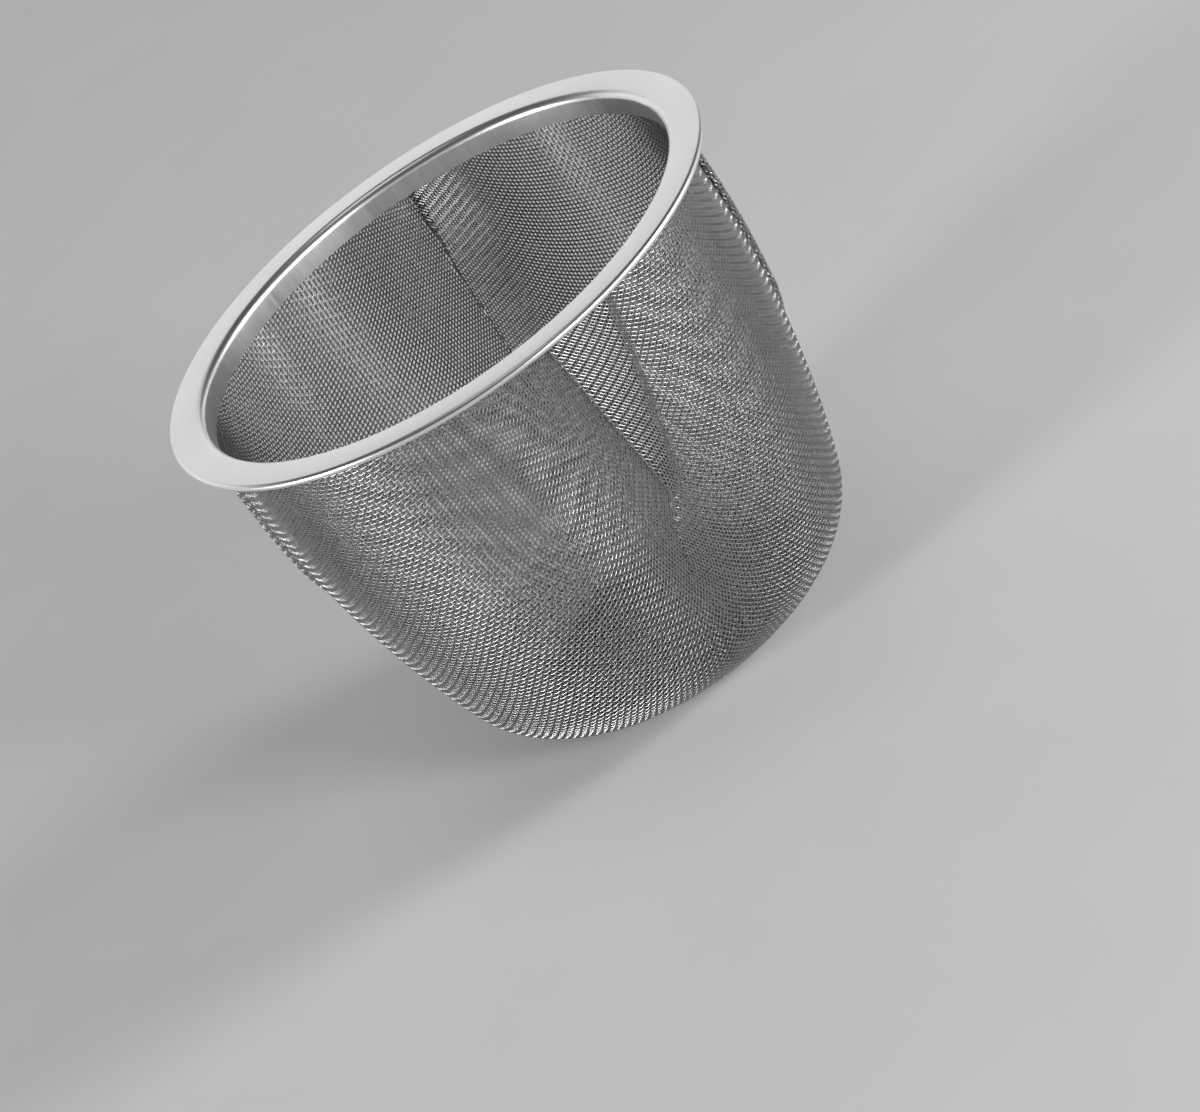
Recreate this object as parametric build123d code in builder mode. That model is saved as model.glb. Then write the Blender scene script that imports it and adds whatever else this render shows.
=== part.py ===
"""Teapot infuser basket: a hemmed stainless rim with a drawn woven-wire cup welded to its collar.

Origin at the centre of the base's underside, +Z up through the mouth, -Y towards the front pleat.
Millimetres throughout.
"""

import os
from math import cos, radians, sin

from build123d import *

os.makedirs("parts", exist_ok=True)

# Rim: one stamping, with a collar turned down inside and a hem turned under outside
RIM_RADIUS = 40.0
RIM_SHEET = 0.4
HEM_GAP = 0.2  # air inside the closed hem
HEM_WIDTH = 2.8  # outer edge to the cut edge of the turned-under sheet
COLLAR_BORE = 34.85  # radius of the mouth
COLLAR_DEPTH = 3.4  # rim face to the collar's lower edge
COLLAR_BEND = 1.05  # radius of the bend between rim face and collar

# Cup: wire cloth two wires thick, drawn from one flat blank
CLOTH = 0.4
STRAIGHT_WALL = 11.4  # cylindrical length below the rim face
WALL_ARC_RADIUS = 135.0  # the wall's slow inward curve
WALL_LEAN = 17.4  # degrees, where the wall meets the base corner
CORNER_RADIUS = 12.5
CLOTH_TOP_GAP = 1.1  # rim face to the cloth's cut edge

# Spot welds that hold the cloth to the outside of the collar
WELD_COUNT = 36
WELD_RADIUS = 0.6
WELD_DROP = 2.25  # rim face to the row of welds

# Pleats, where the cloth's surplus at the four bias corners is folded flat outside the wall.
# Degrees are counted round the cup from the front, towards +X: the fold's edge at the top, the
# hidden inner fold at the top, and the tip where both meet. Length is measured down from the
# cloth's cut edge, and rise is how far the folded plies stand off the wall.
PLEATS = {
    "pleat_front": {"fold": 9.3, "inner": 26.1, "tip": 13.6, "length": 31.0, "rise": 0.8},
    "pleat_right": {"fold": 88.5, "inner": 99.0, "tip": 91.8, "length": 37.0, "rise": 1.2},
    "pleat_rear": {"fold": 171.4, "inner": 173.5, "tip": 175.0, "length": 16.0, "rise": 0.8},
    "pleat_left": {"fold": 268.0, "inner": 279.3, "tip": 269.0, "length": 30.0, "rise": 0.8},
}

cup_radius = COLLAR_BORE + RIM_SHEET + CLOTH
corner_rise = CORNER_RADIUS * (1 - sin(radians(WALL_LEAN)))
wall_rise = WALL_ARC_RADIUS * sin(radians(WALL_LEAN))
height = corner_rise + wall_rise + STRAIGHT_WALL
cloth_top = height - CLOTH_TOP_GAP
flat_radius = (
    cup_radius
    - WALL_ARC_RADIUS * (1 - cos(radians(WALL_LEAN)))
    - CORNER_RADIUS * cos(radians(WALL_LEAN))
)
hem_radius = RIM_SHEET + HEM_GAP / 2


def cup_line(inset):
    """Half of the cup's section, from the axis to the cloth's cut edge, moved in by inset."""
    base = Line((0, inset), (flat_radius, inset))
    corner = JernArc(base @ 1, base % 1, CORNER_RADIUS - inset, 90 - WALL_LEAN)
    wall = JernArc(corner @ 1, corner % 1, WALL_ARC_RADIUS - inset, WALL_LEAN)
    top = Line(wall @ 1, (cup_radius - inset, cloth_top))
    return base @ 0, top @ 1


def cup_section(outer, inner):
    """The section of a layer of cloth between two insets of the cup's section."""
    with BuildSketch(Plane.XZ) as section:
        with BuildLine():
            outer_axis, outer_edge = cup_line(outer)
            inner_axis, inner_edge = cup_line(inner)
            Line(outer_axis, inner_axis)
            Line(outer_edge, inner_edge)
        make_face()
    return section.sketch


cloth_section = cup_section(0, CLOTH)

# Radial rods through the cloth where the welds go, from the collar's outer face outwards
with BuildPart() as weld_rods:
    with PolarLocations(COLLAR_BORE + RIM_SHEET / 2, WELD_COUNT):
        with Locations((0, 0, height - WELD_DROP)):
            Cylinder(
                WELD_RADIUS,
                2 * CLOTH,
                rotation=(0, 90, 0),
                align=(Align.CENTER, Align.CENTER, Align.MIN),
            )

# Rim flange, hem and collar in one closed section
with BuildPart() as rim_flange:
    edge = RIM_RADIUS - hem_radius
    under = height - RIM_SHEET
    bend = COLLAR_BORE + COLLAR_BEND
    collar_out = COLLAR_BORE + RIM_SHEET
    cut = RIM_RADIUS - HEM_WIDTH
    with BuildSketch(Plane.XZ):
        with BuildLine():
            face = Line((bend, height), (edge, height))
            outside = JernArc(face @ 1, (1, 0), hem_radius, -180)
            leg = Line(outside @ 1, (cut, height - 2 * hem_radius))
            cut_edge = Line(leg @ 1, (cut, under - HEM_GAP))
            leg_top = Line(cut_edge @ 1, (edge, under - HEM_GAP))
            inside = JernArc(leg_top @ 1, (1, 0), HEM_GAP / 2, 180)
            plate = Line(inside @ 1, (bend, under))
            inner_bend = JernArc(plate @ 1, (-1, 0), COLLAR_BEND - RIM_SHEET, 90)
            outer_wall = Line(inner_bend @ 1, (collar_out, height - COLLAR_DEPTH))
            lower_edge = Line(outer_wall @ 1, (COLLAR_BORE, height - COLLAR_DEPTH))
            bore = Line(lower_edge @ 1, (COLLAR_BORE, height - COLLAR_BEND))
            JernArc(bore @ 1, (0, 1), COLLAR_BEND, -90)
        make_face()
    revolve(axis=Axis.Z)
rim_flange.part.label = "rim_flange"
export_step(rim_flange.part, "parts/rim_flange.step")

# Cup of wire cloth, as a closed shell of the cloth's own thickness
with BuildPart() as mesh_cup:
    revolve(cloth_section, axis=Axis.Z)
    add(weld_rods.part, mode=Mode.SUBTRACT)
mesh_cup.part.label = "mesh_cup"
export_step(mesh_cup.part, "parts/mesh_cup.step")

# Weld nuggets, each filling its own gap in the cloth
with BuildPart() as weld_spots:
    with BuildSketch(Plane.XY.offset(height - COLLAR_DEPTH)):
        Circle(cup_radius)
        Circle(cup_radius - CLOTH, mode=Mode.SUBTRACT)
    extrude(amount=COLLAR_DEPTH - CLOTH_TOP_GAP)
    add(weld_rods.part, mode=Mode.INTERSECT)
weld_spots.part.label = "weld_spots"
export_step(weld_spots.part, "parts/weld_spots.step")

# Pleats: the plies outside the wall, cut to a tapering wedge that runs out at its tip
for name, shape in PLEATS.items():
    pleat_section = cup_section(-shape["rise"], 0)
    outward = Vector(0, -1, 0).rotate(Axis.Z, shape["tip"])
    facing = Plane(origin=(0, 0, cloth_top), x_dir=outward.cross(Vector(0, 0, -1)), z_dir=outward)
    reach = cup_radius + shape["rise"]
    fold = reach * sin(radians(shape["fold"] - shape["tip"]))
    inner = reach * sin(radians(shape["inner"] - shape["tip"]))
    with BuildPart() as pleat:
        revolve(pleat_section, axis=Axis.Z)
        with BuildSketch(facing):
            with BuildLine():
                Polyline((fold, 0), (inner, 0), (0, -shape["length"]), close=True)
            make_face()
        extrude(amount=RIM_RADIUS, mode=Mode.INTERSECT)
    pleat.part.label = name
    export_step(pleat.part, f"parts/{name}.step")

print(f"height {height:.2f}, flat base radius {flat_radius:.2f}")
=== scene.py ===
"""Teapot infuser basket: woven steel cup with folded pleats, in a hemmed satin rim.

Metres in every Blender object; the cloth's own sizes below are in millimetres.
"""

from math import cos, pi, radians, sin

import bpy
import numpy as np
from mathutils import Matrix, Vector


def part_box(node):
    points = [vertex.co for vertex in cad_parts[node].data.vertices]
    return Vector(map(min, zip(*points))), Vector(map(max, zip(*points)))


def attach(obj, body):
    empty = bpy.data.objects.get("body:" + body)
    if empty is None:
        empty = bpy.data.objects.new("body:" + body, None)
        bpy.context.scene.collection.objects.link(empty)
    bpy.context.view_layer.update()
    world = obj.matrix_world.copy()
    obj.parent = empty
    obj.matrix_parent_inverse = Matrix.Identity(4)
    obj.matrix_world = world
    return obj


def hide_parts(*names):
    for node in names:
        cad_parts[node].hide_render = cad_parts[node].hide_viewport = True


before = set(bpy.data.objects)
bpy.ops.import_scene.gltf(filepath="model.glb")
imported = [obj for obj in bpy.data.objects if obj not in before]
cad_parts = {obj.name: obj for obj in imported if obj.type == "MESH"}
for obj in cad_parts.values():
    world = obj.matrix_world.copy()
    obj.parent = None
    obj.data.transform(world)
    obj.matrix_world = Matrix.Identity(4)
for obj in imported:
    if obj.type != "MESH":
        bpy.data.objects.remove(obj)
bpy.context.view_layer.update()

MM = 0.001
cup_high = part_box("mesh_cup")[1]
rim_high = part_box("rim_flange")[1]
HEIGHT = rim_high[2] / MM
RIM_RADIUS = rim_high[0] / MM
CUP_RADIUS = cup_high[0] / MM
CLOTH_TOP = cup_high[2] / MM

# ---------------------------------------------------------------- the cup's section
CLOTH = 0.4
HALF = CLOTH / 2
OUTER_CORNER = 12.5
OUTER_WALL_ARC = 135.0
LEAN = radians(17.4)
CORNER = OUTER_CORNER - HALF
WALL_ARC = OUTER_WALL_ARC - HALF
FLAT = CUP_RADIUS - OUTER_WALL_ARC * (1 - cos(LEAN)) - OUTER_CORNER * cos(LEAN)
CORNER_END = FLAT + CORNER * (pi / 2 - LEAN)
WALL_END = CORNER_END + WALL_ARC * LEAN
WALL_END_Z = HALF + CORNER * (1 - sin(LEAN)) + WALL_ARC * sin(LEAN)
TOP = WALL_END + CLOTH_TOP - WALL_END_Z


def section(l):
    """Radius and height of the cloth's middle at arc length l from the centre, and its outward normal."""
    a = np.clip((l - FLAT) / CORNER, 0, pi / 2 - LEAN)
    b = np.clip((l - CORNER_END) / WALL_ARC, 0, LEAN)
    r = np.where(l < FLAT, l, FLAT + CORNER * np.sin(a) + WALL_ARC * (np.cos(LEAN - b) - cos(LEAN)))
    z = HALF + CORNER * (1 - np.cos(a)) + WALL_ARC * (sin(LEAN) - np.sin(LEAN - b))
    z = z + np.clip(l - WALL_END, 0, None)
    return r, z, np.sin(a + b), -np.cos(a + b)


def place(l, f, out=0.0):
    """Points at arc length l and angle f, moved out along the normal."""
    r, z, nr, nz = section(l)
    r = r + out * nr
    return np.stack([r * np.cos(f), r * np.sin(f), z + out * nz], -1)


# ---------------------------------------------------------------- the draped net
PITCH = 0.635
WIRE = 0.12  # a wire's radius
WAVE = 0.105  # how far it rises and dips at each crossing
LOCK = radians(38)  # the smallest angle the two wires shear to
LEAST_ANGLE = radians(20)  # the net isn't followed past this
SPARE_ROWS = 70  # room for the rows that run on past the net


def drape():
    """A square net draped over the cup from its centre: arc length and angle of node (u, v) in one quadrant,
    where line v = 0 climbs the wall at angle 0 and line u = 0 at 90 degrees. Also the crossing angle."""
    n = int((TOP + 3) / PITCH) + 2
    line = np.arange(n) * PITCH
    ll = np.full((n, n), np.nan)
    ff = np.full((n, n), np.nan)
    om = np.full((n, n), np.nan)
    x, y = np.meshgrid(line, line, indexing="ij")
    flat = np.hypot(x, y) < FLAT
    ll[flat] = np.hypot(x, y)[flat]
    ff[flat] = np.arctan2(y, x)[flat]
    om[flat] = pi / 2
    ll[:, 0] = ll[0, :] = line
    ff[:, 0] = 0
    ff[0, :] = pi / 2
    om[:, 0] = om[0, :] = pi / 2
    for s in range(2, 2 * n - 1):
        i = np.arange(max(1, s - n + 1), min(n - 1, s - 1) + 1)
        j = s - i
        use = ~flat[i, j] & np.isfinite(ll[i - 1, j]) & np.isfinite(ll[i, j - 1])
        i, j = i[use], j[use]
        if not len(i):
            continue
        a = place(ll[i - 1, j], ff[i - 1, j])
        b = place(ll[i, j - 1], ff[i, j - 1])
        d = place(ll[i - 1, j - 1], ff[i - 1, j - 1])
        g = a + b - d
        l = ll[i - 1, j] + ll[i, j - 1] - ll[i - 1, j - 1]
        f = np.arctan2(g[:, 1], g[:, 0])
        e = 1e-4
        for _ in range(12):
            p = place(l, f)
            pl = (place(l + e, f) - p) / e
            pf = (place(l, f + e) - p) / e
            g1 = ((p - a) ** 2).sum(-1) - PITCH**2
            g2 = ((p - b) ** 2).sum(-1) - PITCH**2
            al, af = 2 * ((p - a) * pl).sum(-1), 2 * ((p - a) * pf).sum(-1)
            bl, bf = 2 * ((p - b) * pl).sum(-1), 2 * ((p - b) * pf).sum(-1)
            det = al * bf - af * bl
            det = np.where(abs(det) < 1e-9, 1e-9, det)
            l = l - np.clip((bf * g1 - af * g2) / det, -0.5, 0.5)
            f = f - np.clip((al * g2 - bl * g1) / det, -0.02, 0.02)
        p = place(l, f)
        good = abs(((p - a) ** 2).sum(-1) - PITCH**2) < 1e-3
        good &= abs(((p - b) ** 2).sum(-1) - PITCH**2) < 1e-3
        good &= np.linalg.norm(p - d, axis=-1) > 0.3 * PITCH
        angle = 2 * np.arcsin(np.clip(np.linalg.norm(a - b, axis=-1) / 2 / PITCH, 0, 1))
        good &= angle > LEAST_ANGLE
        ll[i[good], j[good]] = l[good]
        ff[i[good], j[good]] = f[good]
        om[i[good], j[good]] = angle[good]
    return ll, ff, om


def half_sector():
    """The net on one side of a wire that climbs straight up the wall. Past the angle where the cloth locks, its
    rows run on straight. Returns arc length and angle, which nodes are cloth and which are known, and the line
    that the first locking row would follow in the unlocked net."""
    ll, ff, om = drape()
    n = len(ll)
    m = n + SPARE_ROWS
    l = np.full((n, m), np.nan)
    f = np.full((n, m), np.nan)
    l[:, :n], f[:, :n] = ll, ff
    diag = np.array([om[k, k] if np.isfinite(om[k, k]) else 0 for k in range(n)])
    first = int(np.argmax(diag < LOCK))  # the first row that locks before it crosses the diagonal
    last = np.zeros(n, int)
    lean = np.zeros(n)
    for u in range(first, n):
        ok = np.isfinite(om[u]) & (om[u] >= LOCK)
        last[u] = int(np.argmin(ok)) - 1 if not ok.all() else n - 1
        v = last[u]
        r = section(ll[u, v])[0]
        lean[u] = np.arctan2((ff[u, v] - ff[u, v - 2]) * r, ll[u, v] - ll[u, v - 2])
    rows = np.arange(first, n)
    lean[rows] = np.polyval(np.polyfit(rows, lean[rows], 3), rows)
    for v in range(1, m):
        go = rows[last[rows] < v]
        l[go, v] = l[go, v - 1] + PITCH * np.cos(lean[go])
        f[go, v] = f[go, v - 1] + PITCH * np.sin(lean[go]) / section(l[go, v - 1])[0]
    u, v = np.meshgrid(np.arange(n), np.arange(m), indexing="ij")
    keep = np.isfinite(l) & ((v <= u) | (u >= first))
    known = np.isfinite(l)
    row = np.isfinite(ll[first, first:])
    return l, f, keep, known, (ll[first, first:][row], np.degrees(ff[first, first:][row]))


# Four sectors, each round a wire that climbs straight up; angles in degrees from the front, towards +X
TURN = 2.0
AXES = [TURN - 45 + 90 * k for k in range(4)]
# Seams between sectors, where the cloth laps or folds: the line of the outer fold as (arc length, angle), the
# arc length of the pleat's tip, its width at the cloth's top edge and how far its outer ply is lifted there.
# "shift" slides the cloth near the seam, in degrees; "goes" is the side that a seam's lower end leans to
SEAMS = [
    {"name": "left", "shift": -1.0, "goes": -1, "tip": 54, "width": 7.0, "rise": 0.8,
     "line": [(45, -89.7), (55, -91), (TOP, -92)]},
    {"name": "front", "shift": 5.5, "goes": 1, "tip": 53, "width": 10.4, "rise": 0.8,
     "line": [(52.5, 10.3), (57, 13.3), (TOP, 9.3)]},
    {"name": "right", "shift": -1.0, "goes": 1, "tip": 47, "width": 6.5, "rise": 1.2,
     "line": [(45, 91.6), (60, 92), (TOP, 88.5)]},
    {"name": "rear", "shift": -5.0, "goes": -1, "tip": 68, "width": 1.3, "rise": 0.7,
     "line": [(45, 176.4), (69, 175), (TOP, 171.4)]},
]
SLIDE_FROM, SLIDE_OVER = 22, 26  # where up the cloth the slide starts, and how far it takes to grow
LAP = 0.15  # how far cloth runs past a seam
BEND = 0.45  # half the width of the turn at an outer fold
RISE_OVER = 9  # how far above its tip a pleat is fully lifted
EASE, EASE_OVER = 1.0, 1.4  # where the lifted ply settles back on the wall, past the pleat's width
FOLD_ROUND = 0.03  # rounds the turn of the wires at the fold
FOLD_GAP = 0.17


def smooth(x):
    x = np.clip(x, 0, 1)
    return x * x * (3 - 2 * x)


def warped(l, a):
    """Slides the cloth sideways near each seam, so that its bias lines meet the pleats."""
    grow = smooth((l - SLIDE_FROM) / SLIDE_OVER)
    for k, seam in enumerate(SEAMS):
        away = (a - (AXES[k] - 45) + 180) % 360 - 180
        a = a + seam["shift"] * grow * np.where(abs(away) < 45, 0.5 + 0.5 * np.cos(away / 45 * pi), 0)
    return a


def seam_at(k, l):
    """Angle of seam k at arc length l. Below its stated line it follows the first row that locks, of the cloth on
    the side that it leans away from."""
    seam = SEAMS[k]
    rl, rf = FIRST_ROW
    start = AXES[k] - 90 + rf if seam["goes"] > 0 else AXES[k] - rf
    path = rl < seam["line"][0][0]
    ls = np.concatenate([rl[path], [p[0] for p in seam["line"]]])
    angles = np.concatenate([warped(rl, start)[path], [p[1] for p in seam["line"]]])
    return np.interp(l, ls, angles)


NET = half_sector()
FIRST_ROW = NET[4]
LAP_START = FIRST_ROW[0][0]


def sector(k):
    """Centres and normals of both wire families in sector k, with masks of what is cup and what is pleat."""
    l, f, keep, known, _ = NET
    n, m = l.shape
    wide = lambda x, flip: np.concatenate([flip * x[:, :0:-1], x], axis=1)
    l, f, keep, known = wide(l, 1), wide(f, -1), wide(keep, 1) > 0, wide(known, 1) > 0
    u, v = np.meshgrid(np.arange(n), np.arange(1 - m, m), indexing="ij")
    l = np.where(known, l, 0.0)
    f = np.where(known, f, 0.0)
    a = warped(l, AXES[k] + np.degrees(f))
    r, z, nr, nz = section(l)
    per = np.degrees(1 / np.maximum(r, 1))  # degrees in one millimetre round the wall
    wave = np.where((u + v) % 2, -1.0, 1.0) * (1 if k % 2 == 0 else -1)
    lift = np.zeros_like(l)
    # right side: this sector's cloth runs on under the next seam's pleat, to its inner fold
    seam = SEAMS[(k + 1) % 4]
    edge = seam_at((k + 1) % 4, l) + (360 if k == 3 else 0)
    width = seam["width"] * np.clip((l - seam["tip"]) / (TOP - seam["tip"]), 0, 1)
    keep &= ~((l > LAP_START) & (v > 0) & (a > edge + (width + LAP) * per))
    # left side: this sector's cloth lies over the pleat, and turns under at the outer fold
    seam = SEAMS[k]
    edge = seam_at(k, l)
    width = seam["width"] * np.clip((l - seam["tip"]) / (TOP - seam["tip"]), 0, 1)
    beyond = (edge - a) / per  # past the outer fold, in millimetres
    side = (l > LAP_START) & (v < 0)
    keep &= ~(side & (beyond > width + LAP))
    rise = seam["rise"] * smooth((l - seam["tip"]) / RISE_OVER)
    turn = np.clip(beyond / BEND, -1, 1)
    outer = rise * smooth((beyond + width + EASE) / EASE_OVER)
    lifted = np.where(beyond < -BEND, outer, rise * (0.75 - 0.25 * np.sin(turn * pi / 2)))
    folded = side & (l > seam["tip"]) & (beyond > -width - EASE)
    lift = np.where(folded, lifted, lift)
    wave = np.where(folded & (beyond > -BEND), -wave * np.sin(turn * pi / 2), wave)
    a = np.where(folded & (beyond > -BEND), edge + (np.sqrt(beyond**2 + FOLD_ROUND) - FOLD_GAP) * per, a)
    pleat = side & (l > seam["tip"]) & (beyond > -width)
    keep &= l <= TOP + 0.4 * PITCH
    angle = np.radians(a - 90)
    centre = lambda sign: place(l, angle, lift + sign * WAVE * wave)
    normal = np.stack([nr * np.cos(angle), nr * np.sin(angle), nz], -1)
    return centre(1), centre(-1), normal, keep, known, pleat


SIDES = 6


def rings(centre, normal, known, along):
    """One ring of points round the wire at every node, wires running along the given array axis."""
    c = np.moveaxis(centre, along, 0)
    nn = np.moveaxis(normal, along, 0)
    ok = np.moveaxis(known, along, 0)
    t = np.zeros_like(c)
    fwd = ok[:-1] & ok[1:]
    step = c[1:] - c[:-1]
    t[:-1] += np.where(fwd[..., None], step, 0)
    t[1:] += np.where(fwd[..., None], step, 0)
    t /= np.maximum(np.linalg.norm(t, axis=-1, keepdims=True), 1e-9)
    side = np.cross(t, nn)
    side /= np.maximum(np.linalg.norm(side, axis=-1, keepdims=True), 1e-9)
    up = np.cross(side, t)
    around = np.arange(SIDES) * 2 * pi / SIDES
    ring = c[..., None, :] + WIRE * (
        np.cos(around)[:, None] * up[..., None, :] + np.sin(around)[:, None] * side[..., None, :]
    )
    return np.moveaxis(ring, 0, along)


def mesh_object(name, points, quads):
    mesh = bpy.data.meshes.new(name)
    mesh.vertices.add(len(points))
    mesh.vertices.foreach_set("co", np.asarray(points, np.float32).ravel())
    mesh.loops.add(quads.size)
    mesh.loops.foreach_set("vertex_index", quads.astype(np.int32).ravel())
    mesh.polygons.add(len(quads))
    mesh.polygons.foreach_set("loop_start", np.arange(0, quads.size, quads.shape[1], dtype=np.int32))
    mesh.polygons.foreach_set("use_smooth", np.full(len(quads), True))
    mesh.update(calc_edges=True)
    ob = bpy.data.objects.new(name, mesh)
    bpy.context.scene.collection.objects.link(ob)
    return ob


def wires(ring, segments, along):
    """Tube faces for the chosen segments, each from a node to the next along the axis."""
    index = np.arange(ring.shape[0] * ring.shape[1]).reshape(ring.shape[:2])
    first = index[segments]
    second = np.roll(index, -1, axis=along)[segments]
    used, place_in = np.unique(np.concatenate([first, second]), return_inverse=True)
    start, end = np.split(place_in, 2)
    start, end = start[:, None] * SIDES, end[:, None] * SIDES
    k = np.arange(SIDES)
    k2 = (k + 1) % SIDES
    quads = np.stack([start + k, start + k2, end + k2, end + k], -1).reshape(-1, 4)
    return ring.reshape(-1, SIDES, 3)[used].reshape(-1, 3), quads


def joined(parts):
    points, quads, base = [], [], 0
    for p, q in parts:
        points.append(p)
        quads.append(q + base)
        base += len(p)
    return np.concatenate(points), np.concatenate(quads)


# ---------------------------------------------------------------- materials
def material(name, colour, roughness, metallic=1.0):
    mat = bpy.data.materials.new(name)
    mat.use_nodes = True
    shader = mat.node_tree.nodes["Principled BSDF"]
    shader.inputs["Base Color"].default_value = (*colour, 1)
    shader.inputs["Metallic"].default_value = metallic
    shader.inputs["Roughness"].default_value = roughness
    return mat, mat.node_tree, shader


def node(tree, kind, inputs, **settings):
    """A node with its settings and inputs; an input given as a socket is linked, anything else is set."""
    new = tree.nodes.new(kind)
    for key, value in settings.items():
        setattr(new, key, value)
    for key, value in inputs.items():
        if isinstance(value, bpy.types.NodeSocket):
            tree.links.new(value, new.inputs[key])
        else:
            new.inputs[key].default_value = value
    return new


def grain(tree, scale, detail=3.0, stretch=(1, 1, 1)):
    """Noise in the object's own coordinates, with so many marks per metre; stretch below 1 draws it out."""
    where = node(tree, "ShaderNodeTexCoord", {}).outputs["Object"]
    moved = node(tree, "ShaderNodeMapping", {"Vector": where, "Scale": stretch}).outputs["Vector"]
    return node(tree, "ShaderNodeTexNoise", {"Vector": moved, "Scale": scale, "Detail": detail}).outputs["Fac"]


def spread(tree, value, low, high):
    """Maps the middle of a noise, 0.3 to 0.7, to low and high."""
    return node(tree, "ShaderNodeMapRange", {
        "Value": value, "From Min": 0.3, "From Max": 0.7, "To Min": low, "To Max": high
    }).outputs["Result"]


def grey(tree, value):
    return node(tree, "ShaderNodeCombineColor", {"Red": value, "Green": value, "Blue": value}).outputs["Color"]


# drawn wire: bright, with slightly duller stretches
wire_steel, tree, shader = material("wire_steel", (0.34, 0.34, 0.345), 0.26)
tree.links.new(grey(tree, spread(tree, grain(tree, 700, 2), 0.31, 0.37)), shader.inputs["Base Color"])
tree.links.new(spread(tree, grain(tree, 300, 2), 0.24, 0.28), shader.inputs["Roughness"])

# satin sheet: marks drawn up the collar, a very fine tooth on the flat, slight waves from pressing
rim_steel, tree, shader = material("rim_steel", (0.82, 0.82, 0.825), 0.32)
height = node(tree, "ShaderNodeSeparateXYZ", {"Vector": node(tree, "ShaderNodeTexCoord", {}).outputs["Object"]})
collar = node(tree, "ShaderNodeMapRange", {
    "Value": height.outputs["Z"], "From Min": (HEIGHT - 0.7) * MM, "From Max": (HEIGHT - 1.4) * MM
}).outputs["Result"]
drawn = grain(tree, 1500, 3, (1, 1, 0.02))
tooth = grain(tree, 9000, 2)
broad = grain(tree, 45, 2, (1, 1, 0.3))
sheet = spread(tree, broad, 0.79, 0.86)
streaks = spread(tree, drawn, 0.78, 0.87)
tone = node(tree, "ShaderNodeMix", {"Factor": collar, "A": sheet, "B": streaks})
tree.links.new(grey(tree, tone.outputs["Result"]), shader.inputs["Base Color"])
flat_look = spread(tree, tooth, 0.29, 0.35)
drawn_look = spread(tree, drawn, 0.28, 0.34)
roughness = node(tree, "ShaderNodeMix", {"Factor": collar, "A": flat_look, "B": drawn_look})
tree.links.new(roughness.outputs["Result"], shader.inputs["Roughness"])

# weld marks: heat-dulled, pitted
weld_steel, tree, shader = material("weld_steel", (0.36, 0.36, 0.365), 0.6)
pits = grain(tree, 5200, 3)
tree.links.new(grey(tree, spread(tree, pits, 0.28, 0.42)), shader.inputs["Base Color"])
tree.links.new(spread(tree, pits, 0.68, 0.52), shader.inputs["Roughness"])


def dress(ob, mat):
    ob.data.materials.clear()
    ob.data.materials.append(mat)
    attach(ob, "root")


# ---------------------------------------------------------------- cloth pieces
for k in range(4):
    over, under, normal, keep, known, pleat = sector(k)
    pleat_parts = []
    for along, centre, family in ((0, over, "up"), (1, under, "round")):
        ring = rings(centre, normal, known, along) * MM
        both = keep & np.roll(keep, -1, axis=along)
        if along == 0:
            both[-1] = False
        else:
            both[:, -1] = False
        in_pleat = pleat | np.roll(pleat, -1, axis=along)
        points, quads = wires(ring, both & ~in_pleat, along)
        piece = mesh_object(f"cloth_{k + 1}_{family}", points, quads)
        dress(piece, wire_steel)
        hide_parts("mesh_cup")
        pleat_parts.append(wires(ring, both & in_pleat, along))
    name = SEAMS[k]["name"]
    points, quads = joined(pleat_parts)
    piece = mesh_object(f"pleat_cloth_{name}", points, quads)
    dress(piece, wire_steel)
    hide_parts(f"pleat_{name}")


# ---------------------------------------------------------------- rim
def arc(centre, radius, start, end, steps):
    return [
        (centre[0] + radius * cos(radians(start + (end - start) * s / steps)),
         centre[1] + radius * sin(radians(start + (end - start) * s / steps)))
        for s in range(steps + 1)
    ]


def rim_outline():
    """The sheet's section as (radius, height): flat, hem turned under with a gap, bend and collar."""
    h = HEIGHT
    edge, bend, bore = RIM_RADIUS - 0.5, 35.9, 34.85
    outline = []
    outline += arc((edge, h - 0.5), 0.5, 90, -90, 14)
    outline += [(RIM_RADIUS - 2.8, h - 1.0), (RIM_RADIUS - 2.8, h - 0.6)]
    outline += arc((edge, h - 0.5), 0.1, -90, 90, 6)
    outline += arc((bend, h - 1.05), 0.65, 90, 180, 8)
    outline += [(bore + 0.4, h - 3.4), (bore, h - 3.4)]
    outline += arc((bend, h - 1.05), 1.05, 180, 90, 10)
    return outline


def lathe(name, outline, steps=360):
    turn = np.arange(steps) * 2 * pi / steps
    r, z = np.array(outline).T
    points = np.stack([
        r[None, :] * np.cos(turn)[:, None], r[None, :] * np.sin(turn)[:, None], np.broadcast_to(z, (steps, len(z)))
    ], -1).reshape(-1, 3) * MM
    n = len(outline)
    i, j = np.meshgrid(np.arange(steps), np.arange(n), indexing="ij")
    i2, j2 = (i + 1) % steps, (j + 1) % n
    quads = np.stack([i * n + j, i * n + j2, i2 * n + j2, i2 * n + j], -1).reshape(-1, 4)
    return mesh_object(name, points, quads)


rim = lathe("rim", rim_outline())
dress(rim, rim_steel)
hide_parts("rim_flange")
rim.data.set_sharp_from_angle(angle=radians(40))

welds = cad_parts["weld_spots"]
welds.data.materials.clear()
welds.data.materials.append(weld_steel)

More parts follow.
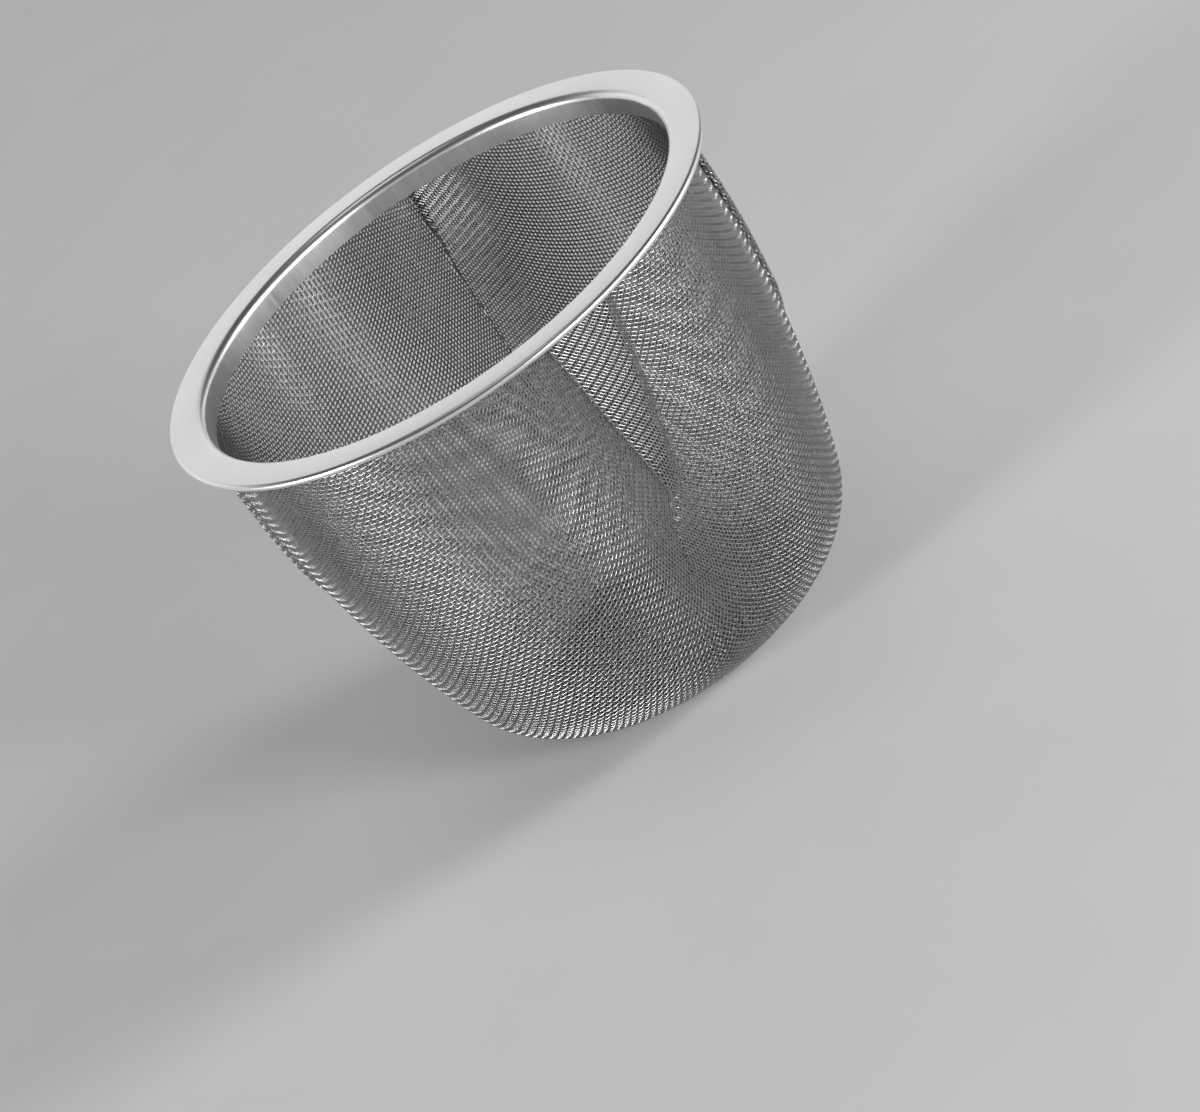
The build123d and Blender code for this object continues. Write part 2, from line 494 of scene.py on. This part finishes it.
# ---------------------------------------------------------------- floor, light, camera
floor_mat, tree, shader = material("floor", (0.88, 0.88, 0.88), 0.9, 0.0)
tree.links.new(grey(tree, spread(tree, grain(tree, 40, 3), 0.865, 0.885)), shader.inputs["Base Color"])
bpy.ops.mesh.primitive_plane_add(size=1.5, location=(0, 0, 0))
floor = bpy.context.object
floor.name = "floor"
floor.data.materials.append(floor_mat)

world = bpy.data.worlds.new("studio")
bpy.context.scene.world = world
world.use_nodes = True
# a pale band at eye level that fades out above, so that the floor stays in soft shade
sky = world.node_tree
direction = node(sky, "ShaderNodeTexCoord", {}).outputs["Generated"]
toward = node(sky, "ShaderNodeSeparateXYZ", {"Vector": direction})
band = node(sky, "ShaderNodeMapRange", {
    "Value": toward.outputs["Z"], "From Min": sin(radians(10)), "From Max": sin(radians(20)),
    "To Min": 0.65, "To Max": 0.04
}, interpolation_type="SMOOTHSTEP")
sky.links.new(band.outputs["Result"], sky.nodes["Background"].inputs["Strength"])
sky.nodes["Background"].inputs["Color"].default_value = (1, 1, 1, 1)


def lamp(name, at, aim, size, power):
    light = bpy.data.lights.new(name, "AREA")
    light.shape = "RECTANGLE"
    light.size, light.size_y = size
    light.energy = power
    ob = bpy.data.objects.new(name, light)
    ob.location = at
    ob.rotation_euler = (Vector(aim) - Vector(at)).to_track_quat("-Z", "Y").to_euler()
    bpy.context.scene.collection.objects.link(ob)
    return ob


lamp("back_panel", (0.0, 0.98, 0.52), (0, 0, 0.05), (1.1, 0.5), 1.45)
lamp("back_left_panel", (-0.72, 0.72, 0.5), (0, 0, 0.05), (0.6, 0.4), 0.8)
lamp("front_right_panel", (0.75, -0.75, 0.36), (0, 0, 0.05), (0.5, 0.35), 0.5)
lamp("top_panel", (0.0, 0.05, 1.1), (0, 0, 0.05), (0.45, 0.45), 0.7)
lamp("key_box", (0.5, -0.84, 0.26), (0, 0, 0.03), (0.26, 0.26), 4.4)
lamp("left_strip", (-0.87, -0.2, 0.18), (0, 0, 0.03), (0.22, 0.3), 4.2)
lamp("right_strip", (0.81, -0.22, 0.18), (0, 0, 0.03), (0.22, 0.3), 5.4)

# the camera looks down at the mouth, rolled so that the rim climbs to the right
AIM = Vector((-0.00376, 0, 0.01422))
DISTANCE = 0.6522
ELEVATION, AZIMUTH, ROLL = radians(26.04), radians(-0.37), radians(-35.99)
ahead = Vector((sin(AZIMUTH) * cos(ELEVATION), cos(AZIMUTH) * cos(ELEVATION), -sin(ELEVATION)))
level = ahead.cross(Vector((0, 0, 1))).normalized()
above = level.cross(ahead)
right = level * cos(ROLL) + above * sin(ROLL)
up = right.cross(ahead)
camera = bpy.data.objects.new("camera", bpy.data.cameras.new("camera"))
camera.matrix_world = Matrix.Translation(AIM - ahead * DISTANCE) @ Matrix((right, up, -ahead)).transposed().to_4x4()
camera.data.lens = 150
camera.data.sensor_width = 36
camera.data.clip_start = 0.01
bpy.context.scene.collection.objects.link(camera)
bpy.context.scene.camera = camera
bpy.context.scene.view_settings.view_transform = "Standard"
